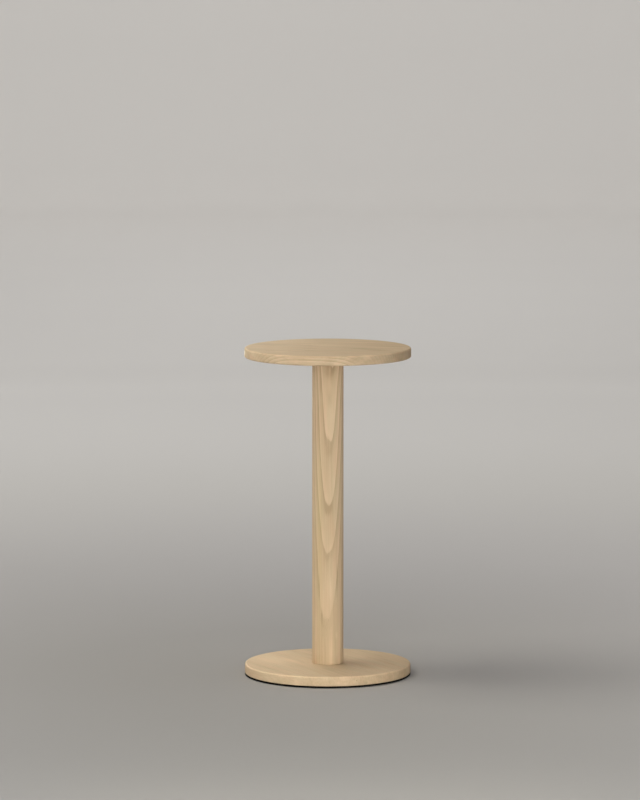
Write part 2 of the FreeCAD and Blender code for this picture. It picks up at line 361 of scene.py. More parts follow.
def top_grain(net, x, y, z):
    """Table top: the grain runs from side to side, the trunk's middle just outside the front edge and below
    the underside, so that the front rim shows arcs."""
    along, across, r, round_, axis = board_frame(net, x, y, z, -12.95, -156.7, 569.9, 2.0)
    closer = net.math("MAXIMUM", r - 28.3, 0.0)
    ring = (r - 19.75) / 8.55 + closer * 0.065 + along * 0.0006
    # the arcs show most in the middle of the front rim
    shown = net.smooth(along, -104.0, -80.0, 0.20, 1.20) * net.smooth(along, 60.0, 88.0, 1.0, 0.12)
    away = net.ramp(r, 35.0, 60.0)
    strong = shown + (0.40 - shown) * away
    upper = net.smooth(z, 595.0, 602.0)
    lower = net.smooth(z, 601.0, 605.0, 1.0, 0.0)
    lines = net.noise(net.vec(across / 1.3, z / 1.3, along / 34.0), detail=2.0, rough=0.6)
    lines = net.math("MAXIMUM", lines * 5.0 + 0.45, 0.0)
    dark = (spot(net, along, across, -41.0, 16.8, 13.0, 6.5) + spot(net, along, across, -31.0, -24.4, 13.0, 6.5)
            + spot(net, along, across, -22.0, -60.0, 12.0, 6.0) * 0.7 + spot(net, along, across, 66.0, -9.0, 19.0, 6.0)
            + spot(net, along, across, 93.0, -26.0, 18.0, 6.0))
    marks_and_painted_shading = (dark * lines * 0.95
               - spot(net, along, across, -118.0, -96.0, 15.0, 15.0) * 0.26
               - spot(net, along, across, -57.0, -141.0, 10.0, 8.0) * 0.14
               # on the front rim: paler from its middle towards the right, darker at the far right end
               - spot(net, along, across, 49.0, -144.0, 8.0, 6.0) * 0.20
               - spot(net, along, across, 63.0, -139.0, 24.0, 6.0) * lower * 0.20
               - spot(net, along, across, 118.0, -96.0, 14.0, 10.0) * lower * 0.26
               + spot(net, along, across, 146.0, -43.0, 5.0, 20.0) * lower * 0.26
               + spot(net, along, across, 92.0, 66.0, 44.0, 40.0) * 0.16
               - spot(net, along, across, -66.0, -88.0, 16.0, 7.0) * 0.26
               - spot(net, along, across, 135.0, -21.0, 12.0, 7.0) * 0.30
               - spot(net, along, across, 99.0, -116.0, 12.0, 9.0) * upper * 0.34)
    # edge: how much paler the painted highlight on the rounded upper edge is
    return dict(ring=ring + 12.0, along=along, tang=round_, radial=r, axis=axis, contrast=strong, marks_and_painted_shading=marks_and_painted_shading,
                sway=0.08, ripple=0.05, clouds=2.3, edge=0.13)


def base_grain(net, x, y, z):
    """Base: the grain runs towards the front right, and the trunk's middle lies far to its left, so the rings
    stand nearly upright in it."""
    along, across, r, round_, axis = board_frame(net, x, y, z, -60.0, -262.0, -34.0, 7.0)
    ring = r * 0.185 + along * 0.0016
    upper = net.smooth(z, 13.0, 17.0)
    lower = net.smooth(z, 17.0, 20.5, 1.0, 0.0)
    marks_and_painted_shading = (spot(net, along, across, -10.0, -64.0, 60.0, 9.0) * 0.12
               - spot(net, along, across, 143.0, -50.0, 16.0, 36.0) * lower * 0.22
               # painted light: a broad paler patch on the left of the base's top, where the light from the left falls
               - spot(net, along, across, -95.0, -72.0, 60.0, 34.0) * 0.28
               # painted shade on the base's top behind the column's left side
               + spot(net, along, across, -85.0, 7.0, 24.0, 9.0) * 0.20
               # painted shadow on the base's top to the right of the column, towards the back
               + spot(net, along, across, -18.0, 123.0, 30.0, 16.0) * 0.22
               - spot(net, along, across, -54.0, -47.0, 24.0, 8.0) * 0.24
               # painted light: a second paler patch on the left of the base's top
               - spot(net, along, across, -72.0, -76.0, 48.0, 30.0) * 0.24
               # painted shadow on the base's top in front of the column's right side
               + spot(net, along, across, 74.0, 38.0, 30.0, 20.0) * 0.20
               - spot(net, along, across, 93.0, -120.7, 12.0, 7.0) * 0.26
               - spot(net, along, across, 130.0, -79.0, 7.0, 8.0) * upper * 0.30
               - spot(net, along, across, 68.0, -136.0, 14.0, 7.0) * upper * 0.24
               - spot(net, along, across, 144.0, -48.0, 7.0, 9.0) * upper * 0.24
               + spot(net, across, z, -26.4, 13.2, 1.1, 1.1) * net.smooth(along, 140.0, 146.0) * 0.8)
    strong = (net.ramp(across, 44.0, 92.0, 0.10, 0.26)
              + net.smooth(along, 60.0, 110.0, 0.0, 0.14) * net.smooth(z, 19.5, 21.2))
    # edge: how much paler the painted highlight on the rounded upper edge is
    return dict(ring=ring + 12.0, along=along, tang=round_, radial=r, axis=axis, contrast=strong, marks_and_painted_shading=marks_and_painted_shading,
                sway=0.5, bands=0.9, clouds=1.5, mottle=0.75, edge=0.11)


# ================================================================ meshes
def mesh_object(name, verts, faces):
    me = bpy.data.meshes.new(name)
    me.from_pydata([tuple(c * MM for c in v) for v in verts], [], faces)
    me.validate()
    me.update()
    o = bpy.data.objects.new(name, me)
    bpy.context.scene.collection.objects.link(o)
    return o


def lathe(name, profile, segments=SEGMENTS):
    """Solid turned about Z. profile is (radius, z) in mm, going round the section anticlockwise as seen with
    radius to the right and z up. Points at radius 0 are on the axis; otherwise the profile closes on itself."""
    verts, faces, rows = [], [], []
    for r, z in profile:
        if r < 1e-9:
            rows.append([len(verts)])
            verts.append((0.0, 0.0, z))
        else:
            rows.append(list(range(len(verts), len(verts) + segments)))
            for k in range(segments):
                t = 2 * math.pi * k / segments
                verts.append((r * math.cos(t), r * math.sin(t), z))
    pairs = list(zip(rows, rows[1:]))
    if len(rows[0]) > 1 and len(rows[-1]) > 1:
        pairs.append((rows[-1], rows[0]))
    for a, b in pairs:
        for k in range(segments):
            j = (k + 1) % segments
            if len(a) == 1 and len(b) == 1:
                continue
            if len(a) == 1:
                faces.append((a[0], b[j], b[k]))
            elif len(b) == 1:
                faces.append((a[k], a[j], b[0]))
            else:
                faces.append((a[k], a[j], b[j], b[k]))
    return mesh_object(name, verts, faces)


def arc(cr, cz, r, a0, a1, steps):
    """Points of an arc in the section, angles in degrees."""
    return [(cr + r * math.cos(math.radians(a0 + (a1 - a0) * i / steps)),
             cz + r * math.sin(math.radians(a0 + (a1 - a0) * i / steps))) for i in range(steps + 1)]


def block(name, length, width, corner, z0, z1, steps=8, bevel=0.0):
    """Upright rounded-rectangle block centred on Z, with its upper and lower edges broken by the bevel."""
    outline = []
    for sx, sy, a0 in ((1, 1, 0), (-1, 1, 90), (-1, -1, 180), (1, -1, 270)):
        cx, cy = sx * (length / 2 - corner), sy * (width / 2 - corner)
        for i in range(steps + 1):
            t = math.radians(a0 + 90 * i / steps)
            outline.append((cx, cy, corner, math.cos(t), math.sin(t)))
    levels = [(z0, 0.0), (z1, 0.0)] if bevel == 0 else [(z0, bevel), (z0 + bevel, 0.0), (z1 - bevel, 0.0), (z1, bevel)]
    n = len(outline)
    verts = [(cx + (c - inset) * ct, cy + (c - inset) * st, z) for z, inset in levels for cx, cy, c, ct, st in outline]
    faces = [tuple(reversed(range(n))), tuple(range((len(levels) - 1) * n, len(levels) * n))]
    for k in range(len(levels) - 1):
        faces += [(k * n + i, k * n + (i + 1) % n, (k + 1) * n + (i + 1) % n, (k + 1) * n + i) for i in range(n)]
    return mesh_object(name, verts, faces)


def stack(name, rows, segments):
    """Closed skin through level rows. Each row is (z, radius) or (z, function of the angle); the first and the
    last row are closed with a cap."""
    verts, faces = [], []
    for z, radius in rows:
        for k in range(segments):
            t = 2 * math.pi * k / segments
            r = radius(t) if callable(radius) else radius
            verts.append((r * math.cos(t), r * math.sin(t), z))
    for i in range(len(rows) - 1):
        for k in range(segments):
            j = (k + 1) % segments
            faces.append((i * segments + k, i * segments + j, (i + 1) * segments + j, (i + 1) * segments + k))
    faces.append(tuple(reversed(range(segments))))
    faces.append(tuple(range((len(rows) - 1) * segments, len(rows) * segments)))
    return mesh_object(name, verts, faces)


def threaded_rows(outline, z0, z1, pitch, depth, crest=0.10):
    """Rows for a bar whose outline (z, radius) carries a screw thread between z0 and z1, cut into it."""
    zs, rs = [p[0] for p in outline], [p[1] for p in outline]
    levels = sorted(set([round(z, 5) for z in zs]
                        + [round(z0 + pitch / 6 * i, 5) for i in range(int((z1 - z0) / pitch * 6) + 1)]))
    rows = []
    for z in levels:
        r = float(np.interp(z, zs, rs))
        if z0 <= z <= z1:
            fade = min(1.0, (z - z0) / pitch, (z1 - z) / pitch)
            cut = min(depth, 0.34 * r) * fade

            def radius(t, r=r, z=z, cut=cut):
                p = (z / pitch - t / (2 * math.pi)) % 1.0
                ridge = min(1.0, max(0.0, (abs(2 * p - 1) - crest) / (1 - 2 * crest)))
                return r - cut * (1 - ridge)
            rows.append((z, radius))
        else:
            rows.append((z, r))
    return rows


def joined(name, objects):
    """One object from several."""
    bm = bmesh.new()
    for o in objects:
        bm.from_mesh(o.data)
    me = bpy.data.meshes.new(name)
    bm.to_mesh(me)
    bm.free()
    for o in objects:
        data = o.data
        bpy.data.objects.remove(o)
        bpy.data.meshes.remove(data)
    o = bpy.data.objects.new(name, me)
    bpy.context.scene.collection.objects.link(o)
    return o


def turned_by(o, degrees):
    o.data.transform(Matrix.Rotation(math.radians(degrees), 4, "Z"))
    return o


def moved(o, x=0.0, y=0.0, z=0.0):
    o.data.transform(Matrix.Translation((x * MM, y * MM, z * MM)))
    return o


def carve(target, cutters, operation="DIFFERENCE"):
    """Takes the cutters' shapes out of the target, or joins them to it, or keeps what they share."""
    for cutter in cutters:
        mod = target.modifiers.new("carve", "BOOLEAN")
        mod.operation, mod.solver, mod.object = operation, "EXACT", cutter
    bpy.context.view_layer.update()
    graph = bpy.context.evaluated_depsgraph_get()
    made = bpy.data.meshes.new_from_object(target.evaluated_get(graph), depsgraph=graph)
    old = target.data
    target.modifiers.clear()
    target.data = made
    bpy.data.meshes.remove(old)
    for cutter in cutters:
        data = cutter.data
        bpy.data.objects.remove(cutter)
        bpy.data.meshes.remove(data)
    return target


def soften(o, angle=32.0):
    """Smooth shading, with true edges kept crisp."""
    o.data.shade_smooth()
    o.data.set_sharp_from_angle(angle=math.radians(angle))


def dress(o, material, slot, *nodes):
    """Gives a piece its material and its place on the table."""
    o.data.materials.clear()
    o.data.materials.append(material)
    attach(o, "root")
    if nodes:
        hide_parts(*nodes)


def screw_hole(name, d, length, head_d, segments=48):
    r, rh = d / 2, head_d / 2
    return lathe(name, [(0, 0), (rh, 0), (rh, 0.3), (r, 0.3 + rh - r), (r, length - 1.3 * d),
                        (0.12 * r, length), (0, length)], segments)


def pin(name, d, z0, z1, x, y, segments=48):
    return moved(lathe(name, [(0, z0), (d / 2, z0), (d / 2, z1), (0, z1)], segments), x, y)


R = TABLE_D / 2
MOUNT_SCREWS = [(sx * 17.0, sy * 6.5) for sx in (-1, 1) for sy in (-1, 1)]
BALLAST_SCREWS = [(118.0 * math.cos(math.radians(30 + 60 * i)), 118.0 * math.sin(math.radians(30 + 60 * i)))
                  for i in range(6)]
PADS = [(132.0 * math.cos(math.radians(60 * i)), 132.0 * math.sin(math.radians(60 * i))) for i in range(6)]

FLAT = 0.25         # a loop this far inside each rounded edge keeps the shading of the flat face flat

# ---------------------------------------------------------------- table top
top = lathe("table_top_oak",
            [(0, Z_UNDER), (R - EDGE_R - FLAT, Z_UNDER)] + arc(R - EDGE_R, Z_UNDER + EDGE_R, EDGE_R, -90, 0, 10)
            + arc(R - EDGE_R, HEIGHT - EDGE_R, EDGE_R, 0, 90, 10)
            + [(R - EDGE_R - FLAT, HEIGHT), (R - 20, HEIGHT), (R * 0.55, HEIGHT), (R * 0.2, HEIGHT), (0, HEIGHT)])
carve(top, [block("pocket", 46.5, 24.5, 4.25, Z_UNDER - 1, Z_UNDER + 4.0)]
      + [moved(screw_hole("hole", 3.5, 12.0, 7.0), x, y, Z_UNDER) for x, y in MOUNT_SCREWS]
      + [pin("socket", 8.0, Z_UNDER - 1, Z_UNDER + 10.5, 0.0, y) for y in (-20.0, 20.0)])
soften(top)

# ---------------------------------------------------------------- column
e = POST_EASE
pr = POST_D / 2
outer = [(pr, Z_BASE_TOP + e + (Z_UNDER - Z_BASE_TOP - 2 * e) * i / 24) for i in range(25)]
post = lathe("post_oak", [(5.5, Z_BASE_TOP), (pr - e, Z_BASE_TOP)] + outer
             + [(pr - e, Z_UNDER), (9.0, Z_UNDER), (9.0, Z_UNDER - 14.0), (5.5, Z_UNDER - 14.0)], 192)
carve(post, [pin("socket", 8.0, Z_UNDER - 10.5, Z_UNDER + 1, 0.0, y) for y in (-20.0, 20.0)]
      + [pin("socket", 8.0, Z_BASE_TOP - 1, Z_BASE_TOP + 16.5, 0.0, y) for y in (-20.0, 20.0)])
soften(post, 50.0)

# ---------------------------------------------------------------- base disc
base = lathe("base_disc_oak",
             [(4.5, Z_BASE_TOP), (4.5, Z_BASE + 10.0), (13.0, Z_BASE + 10.0), (13.0, Z_BASE),
              (R - BASE_LOW_R - FLAT, Z_BASE)] + arc(R - BASE_LOW_R, Z_BASE + BASE_LOW_R, BASE_LOW_R, -90, 0, 6)
             + arc(R - EDGE_R, Z_BASE_TOP - EDGE_R, EDGE_R, 0, 90, 10)
             + [(R - EDGE_R - FLAT, Z_BASE_TOP), (R - 20, Z_BASE_TOP), (R * 0.5, Z_BASE_TOP)])
carve(base, [pin("socket", 8.0, Z_BASE_TOP - 12.5, Z_BASE_TOP + 1, 0.0, y) for y in (-20.0, 20.0)]
      + [moved(screw_hole("hole", 4.0, 14.0, 8.0), x, y, Z_PLATE) for x, y in BALLAST_SCREWS])
soften(base)

# ---------------------------------------------------------------- steel plate under the base
ballast = lathe("ballast_plate_steel",
                [(15.0, Z_PLATE + 0.25), (15.25, Z_PLATE), (15.25 + FLAT, Z_PLATE), (R - 0.4 - FLAT, Z_PLATE)]
                + arc(R - 0.4, Z_PLATE + 0.4, 0.4, -90, 0, 4) + arc(R - 0.4, Z_BASE - 0.4, 0.4, 0, 90, 4)
                + [(R - 0.4 - FLAT, Z_BASE), (15.25 + FLAT, Z_BASE), (15.25, Z_BASE), (15.0, Z_BASE - 0.25)])


def countersink(name, d, head_d, thickness):
    r, rh = d / 2 + 0.25, head_d / 2
    return lathe(name, [(0, -1), (rh, -1), (rh, 0.3), (r, 0.3 + rh - r), (r, thickness + 1), (0, thickness + 1)], 48)


carve(ballast, [moved(countersink("hole", 4.0, 8.0, 3.0), x, y, Z_PLATE) for x, y in BALLAST_SCREWS])
soften(ballast)


# ---------------------------------------------------------------- screws
def wood_screw(name, d, length, head_d, pitch, turn):
    """Countersunk wood screw, head down, with a cross recess and a cut thread inside its plain outline."""
    r, rh = d / 2, head_d / 2
    neck = 0.3 + rh - r
    outline = [(0.0, rh - 0.12), (0.12, rh), (0.3, rh), (neck, r), (length - 1.3 * d, r), (length, 0.12 * r)]
    o = stack(name, threaded_rows(outline, neck + 0.9, length - 0.3, pitch, 0.30 * r), 28)
    span, web, depth = 0.56 * head_d, 0.13 * head_d, 0.24 * head_d
    rows = []
    for z, a, b in ((-0.5, span / 2, web / 2), (0.0, span / 2, web / 2), (depth, 0.75 * web, 0.38 * web)):
        rows.append([(a, -b, z), (a, b, z), (b, b, z), (b, a, z), (-b, a, z), (-b, b, z), (-a, b, z), (-a, -b, z),
                     (-b, -b, z), (-b, -a, z), (b, -a, z), (b, -b, z)])
    verts = [v for row in rows for v in row]
    faces = [tuple(reversed(range(12))), tuple(range(24, 36))]
    faces += [(k * 12 + i, k * 12 + (i + 1) % 12, (k + 1) * 12 + (i + 1) % 12, (k + 1) * 12 + i)
              for k in range(2) for i in range(12)]
    carve(o, [mesh_object("recess", verts, faces)])
    return turned_by(o, turn)


mount_screws = joined("mounting_plate_screws_zinc", [
    moved(wood_screw("screw", 3.5, 12.0, 7.0, 1.3, 20.0 + 37.0 * i), x, y, Z_UNDER)
    for i, (x, y) in enumerate(MOUNT_SCREWS)])
ballast_screws = joined("ballast_plate_screws_black", [
    moved(wood_screw("screw", 4.0, 14.0, 8.0, 1.6, 12.0 + 49.0 * i), x, y, Z_PLATE)
    for i, (x, y) in enumerate(BALLAST_SCREWS)])
soften(mount_screws, 40.0)
soften(ballast_screws, 40.0)

# ---------------------------------------------------------------- tie rod, threaded at both ends
ROD_LOW, ROD_HIGH = 2.0, Z_UNDER + 3.5
rod_outline = [(ROD_LOW, 3.2), (ROD_LOW + 0.8, 4.0), (ROD_HIGH - 0.8, 4.0), (ROD_HIGH, 3.2)]
low_rows = threaded_rows(rod_outline, ROD_LOW + 0.2, ROD_LOW + 45.2, 1.25, 0.62)
high_rows = threaded_rows(rod_outline, ROD_HIGH - 35.2, ROD_HIGH - 0.2, 1.25, 0.62)
rod = stack("tie_rod_zinc", [row for row in low_rows if row[0] < 60.0]
            + [(60.0 + 24.0 * i, 4.0) for i in range(20)] + [row for row in high_rows if row[0] > 540.0], 32)
soften(rod, 40.0)

# ---------------------------------------------------------------- mounting plate with its welded boss
plate = block("mounting_plate_zinc", 46.0, 24.0, 4.0, Z_UNDER, Z_UNDER + 4.0, bevel=0.25)
boss = lathe("boss", [(0, Z_UNDER - 12.0), (7.7, Z_UNDER - 12.0), (8.0, Z_UNDER - 11.7), (8.0, Z_UNDER - 0.8)]
             + arc(8.8, Z_UNDER - 0.8, 0.8, 180, 90, 5)[1:] + [(8.8, Z_UNDER + 2.0), (0, Z_UNDER + 2.0)], 96)
carve(plate, [boss], "UNION")
carve(plate, [lathe("bore", [(0, Z_UNDER - 14.0), (4.0, Z_UNDER - 14.0), (4.0, Z_UNDER + 6.0), (0, Z_UNDER + 6.0)], 64)]
      + [moved(countersink("hole", 3.5, 7.0, 4.0), x, y, Z_UNDER) for x, y in MOUNT_SCREWS])
soften(plate, 35.0)


# ---------------------------------------------------------------- fluted dowels
def fluted(name, z0, z1, x, y):
    def flute(cut):
        return lambda t: 4.0 - cut - 0.28 * max(0.0, math.cos(t * 14)) ** 0.6
    rows = [(z0, flute(0.7)), (z0 + 0.7, flute(0.0))]
    rows += [(z0 + 0.7 + (z1 - z0 - 1.4) * i / 8, flute(0.0)) for i in range(1, 8)]
    rows += [(z1 - 0.7, flute(0.0)), (z1, flute(0.7))]
    return moved(stack(name, rows, 84), x, y)


top_dowels = joined("top_dowels_beech", [fluted("dowel", Z_UNDER - 10.0, Z_UNDER + 10.0, 0.0, y) for y in (-20.0, 20.0)])
base_dowels = joined("base_dowels_beech", [fluted("dowel", Z_BASE_TOP - 12.0, Z_BASE_TOP + 16.0, 0.0, y)
                                           for y in (-20.0, 20.0)])
soften(top_dowels, 35.0)
soften(base_dowels, 35.0)

# ---------------------------------------------------------------- washers and nut
SEAT = Z_BASE + 10.0
washer = lathe("flat_washer_zinc", [(4.2, SEAT - 2.0), (11.75, SEAT - 2.0), (12.0, SEAT - 1.75), (12.0, SEAT - 0.1),
                                    (11.9, SEAT), (4.3, SEAT), (4.2, SEAT - 0.1)], 128)
soften(washer)


def split_ring(name, bore, outside, z0, z1, gap, turn, lean):
    """Ring of square wire with a leaning slit."""
    b, r0, r1 = 0.18, bore / 2, outside / 2
    section = [(r0 + b, z0), (r1 - b, z0), (r1, z0 + b), (r1, z1 - b), (r1 - b, z1), (r0 + b, z1), (r0, z1 - b),
               (r0, z0 + b)]
    mid, steps, verts, faces = (z0 + z1) / 2, 96, [], []
    for i in range(steps + 1):
        for r, z in section:
            skew = (z - mid) * math.tan(math.radians(lean)) / r
            half = gap / 2 / r
            t = half + (2 * math.pi - 2 * half) * i / steps + skew + math.radians(turn)
            verts.append((r * math.cos(t), r * math.sin(t), z))
    n = len(section)
    for i in range(steps):
        for k in range(n):
            j = (k + 1) % n
            faces.append((i * n + k, i * n + j, (i + 1) * n + j, (i + 1) * n + k))
    faces.append(tuple(range(n)))
    faces.append(tuple(reversed(range(steps * n, steps * n + n))))
    return mesh_object(name, verts, faces)


lock = split_ring("spring_washer_steel", 8.2, 14.8, SEAT - 4.0, SEAT - 2.0, 1.4, -70.0, 20.0)
bm = bmesh.new()
bm.from_mesh(lock.data)
bmesh.ops.recalc_face_normals(bm, faces=bm.faces)
bm.to_mesh(lock.data)
bm.free()
soften(lock)

corner = 13.0 / math.sqrt(3.0)
n0, n1 = SEAT - 10.5, SEAT - 4.0
hexagon = [(corner * math.cos(math.radians(60 * i + 15)), corner * math.sin(math.radians(60 * i + 15))) for i in range(6)]
nut = mesh_object("hex_nut_zinc", [(x, y, z) for z in (n0, n1) for x, y in hexagon],
                  [tuple(reversed(range(6))), tuple(range(6, 12))] + [(i, (i + 1) % 6, 6 + (i + 1) % 6, 6 + i)
                                                                      for i in range(6)])
drop = (corner - 0.475 * 13.0) * math.tan(math.radians(30.0))
flat = 0.475 * 13.0
slope = drop / (corner - flat)
carve(nut, [lathe("crown", [(0, n0), (flat, n0), (flat + 3.0, n0 + 3.0 * slope), (flat + 3.0, n1 - 3.0 * slope),
                            (flat, n1), (0, n1)], 96)], "INTERSECT")
carve(nut, [lathe("bore", [(0, n0 - 1.0), (5.4, n0 - 1.0), (4.0, n0 + 0.4), (4.0, n1 - 0.4), (5.4, n1 + 1.0),
                           (0, n1 + 1.0)], 64)])
soften(nut, 28.0)

# ---------------------------------------------------------------- floor pads
pads = joined("floor_pads_rubber", [
    moved(lathe("pad", [(0, 0), (9.8, 0), (10.0, 0.2), (10.0, 0.7), (9.9, 0.8), (0, 0.8)], 72), x, y) for x, y in PADS])
soften(pads, 28.0)

# ---------------------------------------------------------------- oak finishes
LIGHT = (0.680, 0.531, 0.372, 1.0)
DARK = (0.446, 0.334, 0.217, 1.0)
top_oak = oak("oak_top", top_grain, LIGHT, DARK, seed=1.7)
post_oak = oak("oak_post", column_grain, LIGHT, DARK, seed=4.2)
base_oak = oak("oak_base", base_grain, LIGHT, DARK, seed=8.9)
dress(top, top_oak, "oak_top", "table_top")
dress(post, post_oak, "oak_post", "post")
dress(base, base_oak, "oak_base", "base_disc")


# ================================================================ metals and rubber
def plain_metal(name, colour, rough, metallic, grain_mm, bump_mm, gloss=0.5):
    m, net, shader = new_material(name)
    x, y, z = place_mm(net)
    fine = net.noise(net.vec(x / grain_mm, y / grain_mm, z / grain_mm), detail=3.0)
    wide = net.noise(net.vec(x / 14.0, y / 14.0, z / 14.0), detail=2.0)
    tone = 1.0 + fine * 0.22 + wide * 0.18
    both = net.node("ShaderNodeCombineColor")
    for i in range(3):
        net.put(both.inputs[i], tone)
    net.put(shader.inputs["Base Color"], net.mix(1.0, colour, both.outputs[0], "MULTIPLY"))
    net.put(shader.inputs["Roughness"], rough + fine * 0.10 + wide * 0.08)
    shader.inputs["Metallic"].default_value = metallic
    shader.inputs["Specular IOR Level"].default_value = gloss
    bump = net.node("ShaderNodeBump")
    bump.inputs["Strength"].default_value = 0.6
    bump.inputs["Distance"].default_value = 0.001
    net.put(bump.inputs["Height"], fine * bump_mm)
    net.links.new(bump.outputs["Normal"], shader.inputs["Normal"])
    return m


# a deeper black than real powder coat: the plate's colour also carries painted shade of the dark gap under the base
black_coat_and_shade = plain_metal("black_powder_coat", (0.0045, 0.0040, 0.0034, 1.0), 0.62, 0.0, 0.5, 0.03, 0.06)
zinc = plain_metal("zinc_plate", (0.60, 0.60, 0.585, 1.0), 0.34, 1.0, 0.25, 0.01)
spring = plain_metal("spring_steel", (0.36, 0.35, 0.34, 1.0), 0.40, 1.0, 0.25, 0.01)
oxide = plain_metal("black_oxide", (0.05, 0.05, 0.05, 1.0), 0.42, 0.6, 0.3, 0.01)
rubber = plain_metal("black_rubber", (0.016, 0.016, 0.016, 1.0), 0.78, 0.0, 0.35, 0.02, 0.3)


def beech_wood(name):
    """Turned beech: even pinkish wood with faint rings, fine long fibres and short dark ray flecks."""
    m, net, shader = new_material(name)
    x, y, z = place_mm(net)
    fibre = net.noise(net.vec(x / 0.3, y / 0.3, z / 9.0), detail=3.0, rough=0.6)
    ring = net.noise(net.vec(x / 1.6, y / 4.5, z / 70.0 + 2.0), detail=2.0)
    d, _ = net.cells(net.vec(x / 1.1, y / 0.35, z / 1.8))
    ray = net.smooth(d, 0.10, 0.22, 1.0, 0.0)
    tone = net.math("MINIMUM", net.math("MAXIMUM", 0.45 + fibre * 0.55 + ring * 0.8, 0.0), 1.0)
    colour = net.mix(tone, (0.60, 0.415, 0.262, 1.0), (0.44, 0.275, 0.158, 1.0))
    net.put(shader.inputs["Base Color"], net.mix(ray * 0.30, colour, (0.30, 0.165, 0.088, 1.0)))
    net.put(shader.inputs["Roughness"], 0.62 + fibre * 0.12)
    shader.inputs["Specular IOR Level"].default_value = 0.25
    bump = net.node("ShaderNodeBump")
    bump.inputs["Strength"].default_value = 0.5
    bump.inputs["Distance"].default_value = 0.001
    net.put(bump.inputs["Height"], fibre * 0.03)
    net.links.new(bump.outputs["Normal"], shader.inputs["Normal"])
    return m


beech = beech_wood("beech")
dress(ballast, black_coat_and_shade, "black_powder_coat", "ballast_plate")
dress(ballast_screws, oxide, "black_screw_steel", "ballast_plate_screws")
dress(pads, rubber, "black_rubber", "floor_pads")
dress(plate, zinc, "zinc_plated_steel", "top_mounting_plate")
dress(mount_screws, zinc, "zinc_plated_steel", "mounting_plate_screws")
dress(rod, zinc, "zinc_plated_steel", "tie_rod")
dress(washer, zinc, "zinc_plated_steel", "flat_washer")
dress(nut, zinc, "zinc_plated_steel", "hex_nut")
dress(lock, spring, "spring_steel", "spring_washer")
dress(top_dowels, beech, "beech_dowel", "top_dowels")
dress(base_dowels, beech, "beech_dowel", "base_dowels")


# ================================================================ studio
def stage_material(name, rough):
    """Matte paper with a faint fleck, toned so that the sweep looks even under its lights: a base tone by
    distance, a little paler on the right and behind, where less light falls, and darker below the front panels."""
    m, net, shader = new_material(name)
    x, y, z = place_mm(net)
    r = net.math("SQRT", net.math("MULTIPLY_ADD", x, x, y * y))

    def table(*stops):
        n = net.node("ShaderNodeValToRGB")
        net.put(n.inputs[0], (r + z) / 13000.0)
        ramp = n.color_ramp
        ramp.interpolation = "LINEAR"
        while len(ramp.elements) < len(stops):
            ramp.elements.new(0.5)
        for element, (where, value) in zip(ramp.elements, stops):
            element.position = where / 13.0
            element.color = (value, value, value, 1.0)
        return Val(net, n.outputs[0])

    even = table((0.2, 0.816), (0.5, 0.758), (0.9, 0.734), (1.4, 0.726), (2.0, 0.715), (2.8, 0.743), (3.8, 0.790),
                 (4.25, 0.765), (4.72, 0.768), (5.24, 0.776), (5.79, 0.753), (6.39, 0.727), (7.05, 0.711),
                 (7.76, 0.710), (8.54, 0.735), (9.39, 0.786), (10.34, 0.843), (10.95, 0.835), (11.4, 0.806),
                 (12.0, 0.789), (12.6, 0.771), (13.0, 0.770))
    right = table((0.2, 0.12), (0.5, 0.124), (0.9, 0.154), (1.4, 0.168), (2.0, 0.11), (2.8, 0.059), (3.8, 0.0))
    front = table((0.0, 0.0), (0.5, 0.028), (0.9, 0.016), (1.4, 0.008), (2.0, 0.0), (2.8, 0.035), (3.8, 0.069),
                  (4.6, 0.0))
    tone = even + right * (x / r) - front * (y / r)
    for depth, x0, wx, y0, wy in ((0.472, 15, 1038, -1056, 2251), (0.332, -1421, 916, -2357, 638)):
        tone = tone * (1.0 - spot(net, x, y, x0, y0, wx, wy) * depth)
    px, py = (x + 51.0) / 1227.0, (y + 2907.0) / 473.0
    px, py = px * px, py * py
    tone = tone * (1.0 - net.math("EXPONENT", net.math("MULTIPLY_ADD", px, px, py * py) * -1.0) * 0.575)
    tone = net.math("MINIMUM", tone, 0.85)
    tone = tone * (1.0 + net.noise(net.vec(x / 6.0, y / 6.0, z / 6.0), detail=3.0) * 0.02)
    # the near lights are a little yellow, so the paper is a little bluer there
    near = net.smooth(r, 700.0, 2800.0, 1.0, 0.0)
    both = net.node("ShaderNodeCombineColor")
    for i, (tint, shift) in enumerate(((1.028, -0.008), (1.0, -0.010), (0.965, 0.055))):
        net.put(both.inputs[i], tone * (near * shift + tint))
    net.put(shader.inputs["Base Color"], both.outputs[0])
    shader.inputs["Roughness"].default_value = rough
    shader.inputs["Specular IOR Level"].default_value = 0.2
    return m


# A round studio sweep: level floor, wide cove, upright wall, the same from every side.
FLOOR_R, COVE_R, WALL_H = 10.5, 2.2, 7.0
profile = [(0.0, 0.0), (0.5, 0.0), (2.0, 0.0), (5.0, 0.0)]
profile += [(FLOOR_R + COVE_R * math.sin(math.radians(a)), COVE_R * (1 - math.cos(math.radians(a))))
            for a in range(0, 91, 5)]
profile += [(FLOOR_R + COVE_R, WALL_H)]
verts, faces = [], []
steps = 96
for r, z in profile:
    for k in range(steps):
        t = 2 * math.pi * k / steps
        verts.append((r * math.cos(t) * 1000, r * math.sin(t) * 1000, z * 1000))
for i in range(len(profile) - 1):
    for k in range(steps):
        j = (k + 1) % steps
        faces.append((i * steps + k, i * steps + j, (i + 1) * steps + j, (i + 1) * steps + k))
sweep = mesh_object("studio_sweep", verts, faces)
bm = bmesh.new()
bm.from_mesh(sweep.data)
bmesh.ops.remove_doubles(bm, verts=bm.verts, dist=1e-6)
bmesh.ops.recalc_face_normals(bm, faces=bm.faces)
bm.to_mesh(sweep.data)
bm.free()
sweep.data.shade_smooth()
sweep.data.materials.append(stage_material("studio_grey", 0.85))

